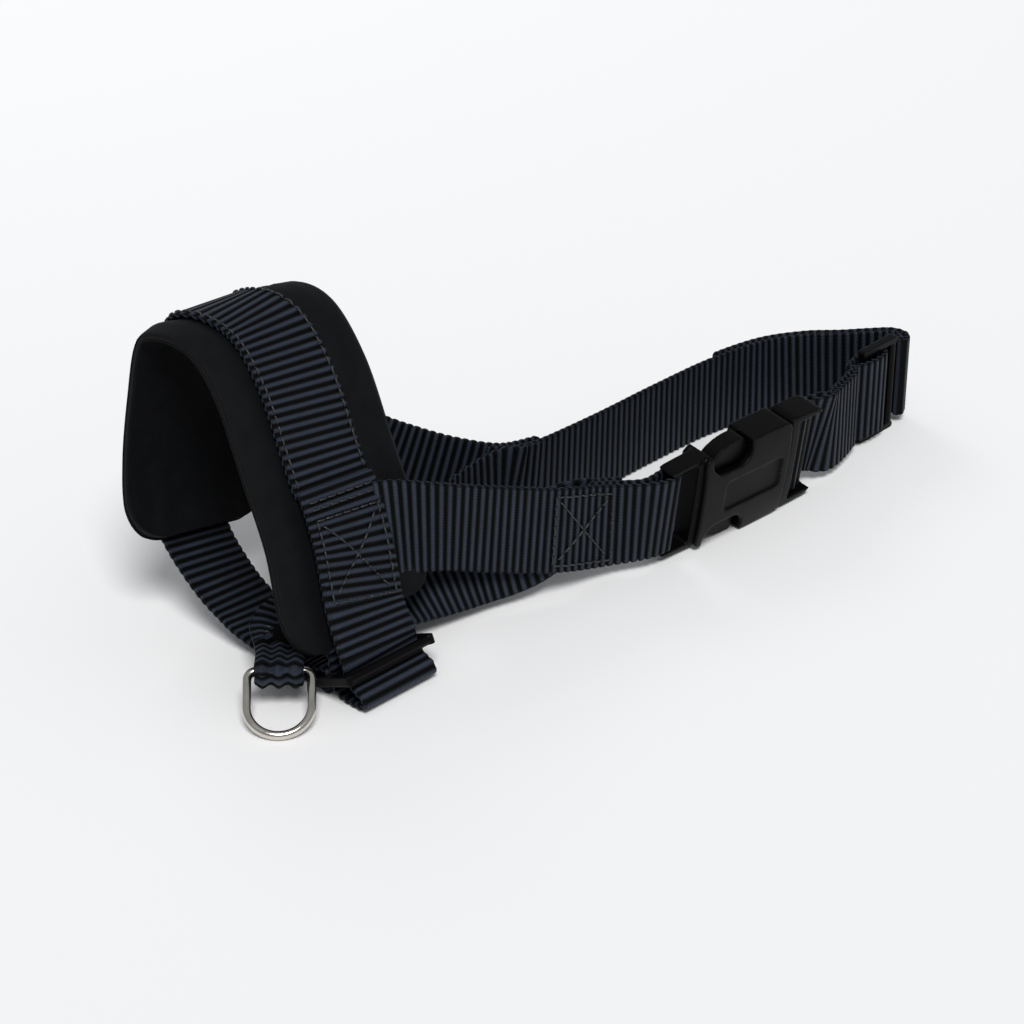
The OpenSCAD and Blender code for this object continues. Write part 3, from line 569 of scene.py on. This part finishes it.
def ribbon(name, route, s0, s1, b=0.0, width=WEB_W, sealed=(True, True), pleats=None, material=None):
    """Ribbed webbing along a route from s0 to s1, its middle b outwards from it."""
    ribs = max(2, round((s1 - s0) / RIB_MM))
    rows = ribs * RINGS_PER_RIB + 1
    t = np.linspace(0, ribs, rows)
    s = s0 + (s1 - s0) * t / ribs
    mid, across, out, narrow = route.read(s)
    shape = section(width, WEB_T)
    each = np.array([random.uniform(-0.14, 0.14) for _ in range(ribs + 2)])
    strength = 1 + each[np.clip(t.astype(int), 0, ribs)]
    vertices, uvs = [], []
    for r in range(rows):
        phase = t[r] % 1.0
        swell = np.sqrt(np.clip(1 - (2 * phase - 1) ** 2, 0, 1))
        other = np.sqrt(np.clip(1 - (2 * ((phase + 0.5) % 1.0) - 1) ** 2, 0, 1))
        rib = np.where(shape[:, 1] >= 0, swell, other)
        half = WEB_T / 2 - RIB_DEPTH * (1 - rib) * strength[r]
        from_end = [s[r] - s0 if sealed[0] else 99, s1 - s[r] if sealed[1] else 99]
        pinch = min(1.0, 0.45 + 0.55 * min(from_end) / 1.2)
        half = half * pinch
        a = (shape[:, 0] + shape[:, 2] * half * 1.0) * narrow[r]
        o = b + shape[:, 1] * half
        if pleats is not None:
            o = o + pleats(mid[r], out[r], a / narrow[r], narrow[r])
        vertices.append(mid[r] + across[r] * a[:, None] + out[r] * o[:, None])
        under = shape[:, 1] < 0
        uvs.append(np.stack([shape[:, 0] + 40 * under, RIB_MM * (t[r] + 0.5 * under)], axis=-1))
    ring = len(shape)
    faces = ring_faces(rows, ring)
    for base, flip in ((0, False), ((rows - 1) * ring, True)):
        loop_ids = list(range(base, base + ring))
        faces.append(loop_ids if flip else loop_ids[::-1])
    made = add_mesh(name, to_frame(np.vstack(vertices)), faces, material or WEBBING, np.vstack(uvs))
    fix_normals(made)
    return made


def fix_normals(piece):
    """Makes every face look outwards and splits the two big end faces."""
    work = bmesh.new()
    work.from_mesh(piece.data)
    big = [f for f in work.faces if len(f.verts) > 4]
    bmesh.ops.triangulate(work, faces=big)
    bmesh.ops.recalc_face_normals(work, faces=work.faces)
    work.to_mesh(piece.data)
    work.free()


# %% [markdown]
# ## Straps on the nose loop and cheeks
# These straps are sewn to one another, so all of them ride on the root body. The nose
# web starts hidden under the adjuster tab, goes over the nose and under the chin, and
# turns back round the slider's low bar.

# %% Sewn straps
nose = ribbon("nose_webbing", loop, TAB_TOP - 1.2, loop.length)
adjuster = ribbon("adjuster_tab_webbing", tab, 0, tab.length)
near_cheek = ribbon("near_cheek_webbing", near, 0, near.length)
far_cheek = ribbon("far_cheek_webbing", far, 0, far.length)
for piece, node in ((nose, "nose_web"), (adjuster, "adjuster_tab"), (near_cheek, "near_cheek_strap"),
                    (far_cheek, "far_cheek_strap")):
    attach(piece, "root")
    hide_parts(node)
    print(piece.name, len(piece.data.polygons), "faces")

# %% [markdown]
# ## Control strap, gathered in the ring
# The ring is 14 mm wide inside and the webbing 25 mm, so the strap folds lengthwise where
# it passes through. Cloth keeps its width, so as the strip narrows it grows pleats,
# always outwards, away from the ring's wire.

# %% Gathered control strap
PLEAT_MM = 8.2


def ring_pleats(mid, out, a, narrow):
    depth = 1.1 * (1 - narrow) / (1 - NARROW)
    away = 1.0 if np.dot(out, mid - ring_bar) > 0 else -1.0
    return away * depth * 0.5 * (1 + np.cos(2 * math.pi * a / PLEAT_MM))


control_piece = ribbon("control_webbing", control, 0, control.length, pleats=ring_pleats)
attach(control_piece, "root")
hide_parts("control_strap")

# %% [markdown]
# ## Neck strap, in pieces
# When the buckle's plug is drawn out, the near side of the neck loop goes with it and the far side gives.
# Each stretch of strap therefore ends where it changes company, at the slider or at the turn.

# %% Neck strap
apex_s = float(neck.length_at[int(np.argmax(neck.mid[:, 0]))])
TAIL_LEN = 78.0
apex_point = to_frame(neck.point(apex_s))
junction_point = to_frame(neck.point(neck.length - 20))


def neck_piece(name, s0, s1, b, node, sealed):
    piece = ribbon(name, neck, s0, s1, b, sealed=sealed)
    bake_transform(piece)
    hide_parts(node)
    return piece


neck_piece("neck_turn_webbing", 7, apex_s, -LAYER - 0.15,
           "neck_turn", (True, False))
neck_piece("neck_far_webbing", apex_s, neck.length, -LAYER - 0.15,
           "neck_far_strap", (False, True))
neck_piece("neck_tail_turn", 0.8, apex_s, 0,
           "neck_tail", (True, False))
neck_piece("neck_tail_end", apex_s, TAIL_LEN, 0,
           "neck_tail", (False, True))
strand_web = ribbon("neck_strand_webbing", strand, 0, strand.length)
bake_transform(strand_web)
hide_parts("neck_near_strand")
print(f"turn at {apex_s:.1f} mm, tail {TAIL_LEN:.0f} mm")

# %% [markdown]
# ## Padded nose band
# A bonded pad is three sheets: jersey, foam, jersey. Sewn down along the webbing it is
# pressed thin there and stands fuller on both sides, then thins again to a soft edge,
# where the shears cut it. Each sheet is one grid wrapped over its edge, so the foam
# shows between the two faces as it does on the real pad.

# %% Pad
PAD_FRONT, PAD_REAR, PAD_CORNER, PAD_SKEW = 11.0, 12.5, 11.0, 7.0
JERSEY_T, FOAM_T = 0.5, 2.4
PAD_B = WEB_T / 2 + GAP
PAD_ROWS, PAD_COLUMNS = 170, 44


def pad_outline(t, k, inset):
    """Place on the loop (s, a) for t along and k across, both 0 to 1, with round corners."""
    skew = PAD_SKEW * k + inset
    s = PAD_S0 + skew + (PAD_S1 - inset - PAD_S0 - skew) * t
    from_end = np.minimum(t, 1 - t) * (PAD_S1 - PAD_S0)
    inward = np.where(from_end >= PAD_CORNER, 0,
                      PAD_CORNER - np.sqrt(np.clip(PAD_CORNER ** 2 - (PAD_CORNER - from_end) ** 2, 0, None)))
    a0, a1 = -WEB_W / 2 - PAD_FRONT + inset + inward, WEB_W / 2 + PAD_REAR - inset - inward
    return s, a0 + (a1 - a0) * k


def fullness(s, a):
    """How far the pad stands up beside the webbing, outwards and inwards, in millimetres."""
    beside = np.clip((np.abs(a) - WEB_W / 2) / 3.5, 0, 1)
    rim_a = np.where(a < 0, WEB_W / 2 + PAD_FRONT + a, WEB_W / 2 + PAD_REAR - a)
    rim = np.clip(np.minimum(rim_a, np.minimum(s - PAD_S0, PAD_S1 - s) + 2) / 6, 0, 1)
    ripple = 0.16 * np.sin(s * 0.31 + a * 0.2) + 0.1 * np.sin(s * 0.83 - a * 0.35)
    return beside * rim ** 0.5 * (0.75 + ripple), rim


def pad_sheet(name, b_out, b_in, inset, material):
    """One closed sheet of the pad between two depths below the webbing."""
    t = np.linspace(0, 1, PAD_ROWS)[:, None] + np.zeros((1, PAD_COLUMNS))
    k = np.linspace(0, 1, PAD_COLUMNS)[None, :] + np.zeros((PAD_ROWS, 1))
    t = 0.5 - 0.5 * np.cos(np.pi * t) * (0.35 * np.abs(np.cos(np.pi * t)) + 0.65)
    s, a = pad_outline(t, k, inset)
    up, rim = fullness(s, a)
    pull = 0.55 * (1 - rim ** 0.6)
    mid, across, out, _ = foot.read(s.ravel())
    grid = (PAD_ROWS, PAD_COLUMNS, 3)
    centre = (mid + across * a.ravel()[:, None]).reshape(grid)
    out = out.reshape(grid)
    middle_b = -(PAD_B + JERSEY_T + FOAM_T / 2)
    faces, layers = [], []
    for depth, sign in ((b_out, 1), (b_in, -1)):
        b = -depth + up * (0.9 if sign > 0 and depth < PAD_B + 1 else 0.85)
        b = b + (middle_b - b) * pull
        layers.append(centre + out * b[..., None])
    count = PAD_ROWS * PAD_COLUMNS
    index = np.arange(count).reshape(PAD_ROWS, PAD_COLUMNS)
    quad = np.stack([index[:-1, :-1], index[:-1, 1:], index[1:, 1:], index[1:, :-1]], -1).reshape(-1, 4)
    faces += quad.tolist() + (quad[:, ::-1] + count).tolist()
    rim_ids = np.concatenate([index[0, :-1], index[:-1, -1], index[-1, :0:-1], index[:0:-1, 0]])
    following = np.roll(rim_ids, -1)
    faces += np.stack([rim_ids, rim_ids + count, following + count, following], -1).tolist()
    uv = np.stack([a.ravel(), s.ravel()], -1)
    made = add_mesh(name, to_frame(np.vstack([layers[0].reshape(-1, 3), layers[1].reshape(-1, 3)])),
                    faces, material, np.vstack([uv, uv]))
    fix_normals(made)
    return made


PAD_SHEETS = (
    ("pad_face_jersey", PAD_B, PAD_B + JERSEY_T, 0.0, JERSEY, "pad_outer_face", "pad_jersey"),
    ("pad_foam_core", PAD_B + JERSEY_T, PAD_B + JERSEY_T + FOAM_T, 0.35, FOAM, "pad_foam", "pad_foam"),
    ("pad_lining_jersey", PAD_B + JERSEY_T + FOAM_T, PAD_B + 2 * JERSEY_T + FOAM_T, 0.0, JERSEY,
     "pad_lining", "pad_jersey"))
for name, b_out, b_in, inset, material, node, slot_name in PAD_SHEETS:
    sheet_piece = pad_sheet(name, b_out, b_in, inset, material)
    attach(sheet_piece, "root")
    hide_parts(node)
    print(name, len(sheet_piece.data.polygons), "faces")

# %% [markdown]
# ## Stitches
# A lockstitch lies on the cloth as a short bar of thread that dives in at both ends. Each
# one is a small bent tube, and a row of them follows the strap it sews.

# %% Stitch rows
THREAD_D = 0.55
STITCH_LEN = 2.4
ON_WEB = WEB_T / 2 + THREAD_D / 2 - 0.05


def one_stitch(route, p, q, b):
    """Vertices and faces of one stitch from p to q, given as (along, across) on a route."""
    steps, sides = 7, 8
    rows = []
    for i in range(steps):
        t = i / (steps - 1)
        s, a = p[0] + (q[0] - p[0]) * t, p[1] + (q[1] - p[1]) * t
        dive = -0.5 * abs(2 * t - 1) ** 4
        mid, across, out, _ = route.read(np.array([s]))
        lie = np.array([q[1] - p[1], -(q[0] - p[0])])
        lie = lie / np.linalg.norm(lie)
        forward = unit(route.read(np.array([s + 0.5]))[0] - route.read(np.array([s - 0.5]))[0])[0]
        side = forward * lie[0] + across[0] * lie[1]
        r = THREAD_D / 2 * (0.75 + 0.25 * (1 - abs(2 * t - 1) ** 3))
        centre = mid[0] + across[0] * a + out[0] * (b + dive)
        turn = np.arange(sides) * 2 * math.pi / sides
        rows.append(centre + side * (np.cos(turn) * r)[:, None] + out[0] * (np.sin(turn) * r)[:, None])
    faces = ring_faces(steps, sides)
    faces += [list(range(sides))[::-1], list(range((steps - 1) * sides, steps * sides))]
    return np.vstack(rows), faces


def stitch_row(route, p, q, b):
    """Stitches in a straight line between two places (along, across) on a route."""
    p, q = np.array(p, float), np.array(q, float)
    count = max(1, int(np.linalg.norm(q - p) / (STITCH_LEN * 1.12)))
    row = []
    for i in range(count):
        ends = [p + (q - p) * (i + k) / count for k in (0.05, 0.95)]
        row.append(one_stitch(route, ends[0], ends[1], b + (0.05 if i % 2 else 0.0)))
    return row


def sew(name, stitches, node):
    """One piece from many stitches, standing for the frame's node."""
    vertices, faces, first = [], [], 0
    for points, quads in stitches:
        vertices.append(points)
        faces += [[i + first for i in quad] for quad in quads]
        first += len(points)
    made = add_mesh(name, to_frame(np.vstack(vertices)), faces, THREAD)
    fix_normals(made)
    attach(made, "root")
    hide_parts(node)
    print(name, len(stitches), "stitches")


def box_rows(route, s0, s1, half, b):
    corners = [np.array(c) for c in ((s0, -half), (s1, -half), (s1, half), (s0, half))]
    rows = []
    for i in range(4):
        rows += stitch_row(route, corners[i], corners[(i + 1) % 4], b)
    for start, end in ((0, 2), (1, 3)):
        rows += stitch_row(route, corners[start] * 0.92 + corners[end] * 0.08,
                           corners[start] * 0.08 + corners[end] * 0.92, b)
    return rows


EDGE = WEB_W / 2 - 1.6
HALF = WEB_W / 2 - 2.5
ACROSS = WEB_W / 2 - 2


def rows_across(route, places, half, b):
    """A row of stitches square across the webbing at each place along the route."""
    rows = []
    for s in places:
        rows += stitch_row(route, (s, -half), (s, half), b)
    return rows


sew("pad_front_thread", stitch_row(foot, (TAB_TOP + 1, -EDGE), (PAD_S1 - 6, -EDGE), ON_WEB),
    "pad_front_stitch")
sew("pad_rear_thread", stitch_row(foot, (TAB_TOP + 1, EDGE), (PAD_S1 - 6, EDGE), ON_WEB),
    "pad_rear_stitch")
sew("seam_thread", rows_across(foot, (TAB_TOP - 3, TAB_TOP - 5), ACROSS, LAYER + ON_WEB), "seam_stitch")
sew("tab_box_thread", box_rows(foot, TAB_TOP - 30, TAB_TOP - 8, HALF, LAYER + ON_WEB), "tab_box_stitch")
sew("near_junction_thread", box_rows(near_out, near_out.length - 30, near_out.length - 11, HALF, ON_WEB),
    "near_junction_stitch")
sew("far_junction_thread", box_rows(far, far.length - 17, far.length - 1.5, HALF, ON_WEB),
    "far_junction_stitch")
sew("far_tongue_thread", rows_across(foot, (PAD_S1 - 2, PAD_S1 - 4), ACROSS, ON_WEB), "far_tongue_stitch")
bar_s = float(control.length_at[24 * (3 + 6 + 2)])
sew("ring_tack_thread", rows_across(control, (bar_s + 17, bar_s + 19), 6, ON_WEB), "ring_tack")

# %% [markdown]
# ## Lead ring
# The ring is one wire bent into a D, so it is one tube along one line: straight bar, two
# tight corners, two legs and a half circle. The wire's ends meet in a weld on the bar,
# hidden by the strap, so the tube simply closes.

# %% Lead ring
RING_CORNER = 2.4


def ring_line():
    """The ring's middle line in its own plane: x away from the bar, y along it."""
    def arc(cx, cy, r, a0, a1, n):
        return [(cx + r * math.cos(math.radians(a)), cy + r * math.sin(math.radians(a)))
                for a in np.linspace(a0, a1, n)]
    line = [(0, y) for y in np.linspace(-RING_BEND + RING_CORNER, RING_BEND - RING_CORNER, 9)[:-1]]
    line += arc(RING_CORNER, RING_BEND - RING_CORNER, RING_CORNER, 180, 90, 13)
    line += arc(RING_LEG, 0, RING_BEND, 90, -90, 61)
    line += arc(RING_CORNER, -RING_BEND + RING_CORNER, RING_CORNER, 270, 180, 13)[:-1]
    return np.array(line)


def closed_tube(name, line, place, radius, sides, material):
    """A tube round a closed flat line; place turns plane coordinates into millimetres."""
    ahead = unit(np.roll(line, -1, axis=0) - np.roll(line, 1, axis=0))
    normal = np.stack([ahead[:, 1], -ahead[:, 0]], -1)
    turn = np.arange(sides) * 2 * math.pi / sides
    rows = []
    for p, n in zip(line, normal):
        flat = p + n * (np.cos(turn) * radius)[:, None]
        rows.append(np.column_stack([flat, np.sin(turn) * radius]))
    vertices = place(np.vstack(rows))
    count = len(line)
    faces = [[(r * sides + i) % (count * sides), (r * sides + (i + 1) % sides),
              ((r + 1) % count) * sides + (i + 1) % sides, ((r + 1) % count) * sides + i]
             for r in range(count) for i in range(sides)]
    made = add_mesh(name, to_frame(vertices), faces, material)
    fix_normals(made)
    return made


def ring_place(points):
    tilt = math.radians(RING_TILT)
    level = np.column_stack([points[:, 0] * math.cos(tilt) + points[:, 2] * math.sin(tilt), points[:, 1],
                             -points[:, 0] * math.sin(tilt) + points[:, 2] * math.cos(tilt)])
    return np.array([turned(p, RING_TURN) for p in level]) + ring_bar


ring = closed_tube("lead_ring_wire", ring_line(), ring_place, RING_WIRE / 2, 32, NICKEL)
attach(ring, "lead_ring")
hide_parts("lead_ring")
print("ring", len(ring.data.polygons), "faces")

# %% [markdown]
# ## Moulded parts
# Acetal parts have no sharp corner anywhere: the mould is polished and the plastic
# shrinks. The frame's solids have the right places but hard edges. A copy of each is
# remeshed in small voxels and smoothed a little, which rounds every edge at once.

# %% Round the moulded parts
def rounded_copy(node, voxel, passes):
    """A copy of a frame solid in fine voxels, smoothed so that every edge is rounded."""
    copy = bpy.data.objects.new(node + "_moulded", nodes[node].data.copy())
    bpy.context.scene.collection.objects.link(copy)
    remesh = copy.modifiers.new("remesh", "REMESH")
    remesh.mode = "VOXEL"
    remesh.voxel_size = voxel / 1000
    soften = copy.modifiers.new("soften", "SMOOTH")
    soften.factor = 0.5
    soften.iterations = passes
    mesh = bpy.data.meshes.new_from_object(copy.evaluated_get(bpy.context.evaluated_depsgraph_get()))
    copy.modifiers.clear()
    copy.data = mesh
    return copy


def moulded(node, body, material, voxel, passes, shape=None):
    copy = rounded_copy(node, voxel, passes)
    mesh = copy.data
    if shape is not None:
        points = np.empty(len(mesh.vertices) * 3)
        mesh.vertices.foreach_get("co", points)
        mesh.vertices.foreach_set("co", shape(points.reshape(-1, 3)).ravel())
    mesh.materials.clear()
    mesh.materials.append(material)
    mesh.polygons.foreach_set("use_smooth", [True] * len(mesh.polygons))
    mesh.update()
    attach(copy, body)
    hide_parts(node)
    print(copy.name, len(mesh.polygons), "faces")


# %% [markdown]
# The buckle's faces are crowned, fullest in the middle, so that it slides off fur, and its
# sides bow outwards. Both come from one bend of the rounded copy, in the buckle's own
# directions: along it, across it and through its thickness.

# %% Crown the buckle
ALONG_BUCKLE = turned([1, 0, 0], BUCKLE_TURN)
ACROSS_BUCKLE = -buckle_down
THROUGH_BUCKLE = np.cross(ALONG_BUCKLE, ACROSS_BUCKLE)
BUCKLE_AXES = np.stack([ALONG_BUCKLE, ACROSS_BUCKLE, THROUGH_BUCKLE])
STRAP_EDGE = WEB_W / 2 + FIT + 0.2
BUCKLE_MIDDLE = 0.56 * PLUG_END


def crowned(points):
    local = (points * 1000 + MID - buckle_origin) @ BUCKLE_AXES.T
    x, y, z = local.T
    end = np.abs(x - BUCKLE_MIDDLE) / (PLUG_END - BUCKLE_MIDDLE)
    outer = np.clip(np.abs(y) - STRAP_EDGE, 0, None)
    y = np.sign(y) * (np.abs(y) - outer * 0.42 * end ** 2)
    side = np.clip(np.abs(y) / (BUCKLE_W / 2), 0, 1)
    z = z * (1 - 0.17 * side ** 3 - 0.07 * np.clip(end, 0, 1) ** 2)
    return (np.stack([x, y, z], -1) @ BUCKLE_AXES + buckle_origin - MID) / 1000


moulded("buckle_socket", "root", BUCKLE_ACETAL, 0.28, 14, crowned)
moulded("buckle_plug", "buckle_plug", BUCKLE_ACETAL, 0.26, 14, crowned)
for side_name in ("prong_upper", "prong_lower"):
    moulded(side_name, side_name, BUCKLE_ACETAL, 0.2, 26, crowned)
moulded("nose_slider", "nose_slider", SLIDER_ACETAL, 0.18, 8)
moulded("neck_slider", "neck_slider", SLIDER_ACETAL, 0.18, 8)

# %% [markdown]
# ## Floor, light and camera
# The halter is black, so its form is drawn by highlights. One large soft lamp from the upper left draws the
# ribs, a second from behind lights the rims, and a pale flat floor fills the shadows.

# %% Floor and light
floor_mesh = bpy.data.meshes.new("floor")
half_floor = 3.0
floor_mesh.from_pydata([(-half_floor, -half_floor, 0), (half_floor, -half_floor, 0),
                        (half_floor, half_floor, 0), (-half_floor, half_floor, 0)], [], [(0, 1, 2, 3)])
floor = bpy.data.objects.new("floor", floor_mesh)
bpy.context.scene.collection.objects.link(floor)
floor_paint, *_ = new_material("floor_paint", {
    "Base Color": linear("#ffffff"), "Roughness": 0.9, "Specular IOR Level": 0.1})
floor_mesh.materials.append(floor_paint)
low, high = (np.array(c) for c in cad_box)
target = Vector((low + high) / 2)


def aim(lamp_data, name, place):
    lamp = bpy.data.objects.new(name, lamp_data)
    bpy.context.scene.collection.objects.link(lamp)
    lamp.location = target + Vector(place)
    lamp.rotation_euler = (-Vector(place)).to_track_quat("-Z", "Y").to_euler()


def softbox(name, place, size, power):
    lamp_data = bpy.data.lights.new(name, "AREA")
    lamp_data.shape = "DISK"
    lamp_data.size = size
    lamp_data.energy = power
    aim(lamp_data, name, place)


key = bpy.data.lights.new("key_light", "SUN")
key.energy = 2.1
key.angle = math.radians(24)
aim(key, "key_light", (-0.35, -0.45, 0.9))
softbox("rim_lamp", (0.3, 0.95, 0.75), 0.5, 1.5)
world = bpy.data.worlds.new("studio")
world.use_nodes = True
world.node_tree.nodes["Background"].inputs["Color"].default_value = linear("#f4f6fa")
world.node_tree.nodes["Background"].inputs["Strength"].default_value = 0.32
bpy.context.scene.world = world

# %% Camera
camera_data = bpy.data.cameras.new("camera")
camera_data.lens = 105
camera_data.sensor_width = 36
camera_data.clip_start = 0.01
camera = bpy.data.objects.new("camera", camera_data)
bpy.context.scene.collection.objects.link(camera)
camera.location = to_frame([-410.4, -467.5, 414.8])
camera.rotation_euler = (math.radians(60), 0, math.radians(-45))
bpy.context.scene.camera = camera
bpy.context.scene.view_settings.view_transform = "Standard"
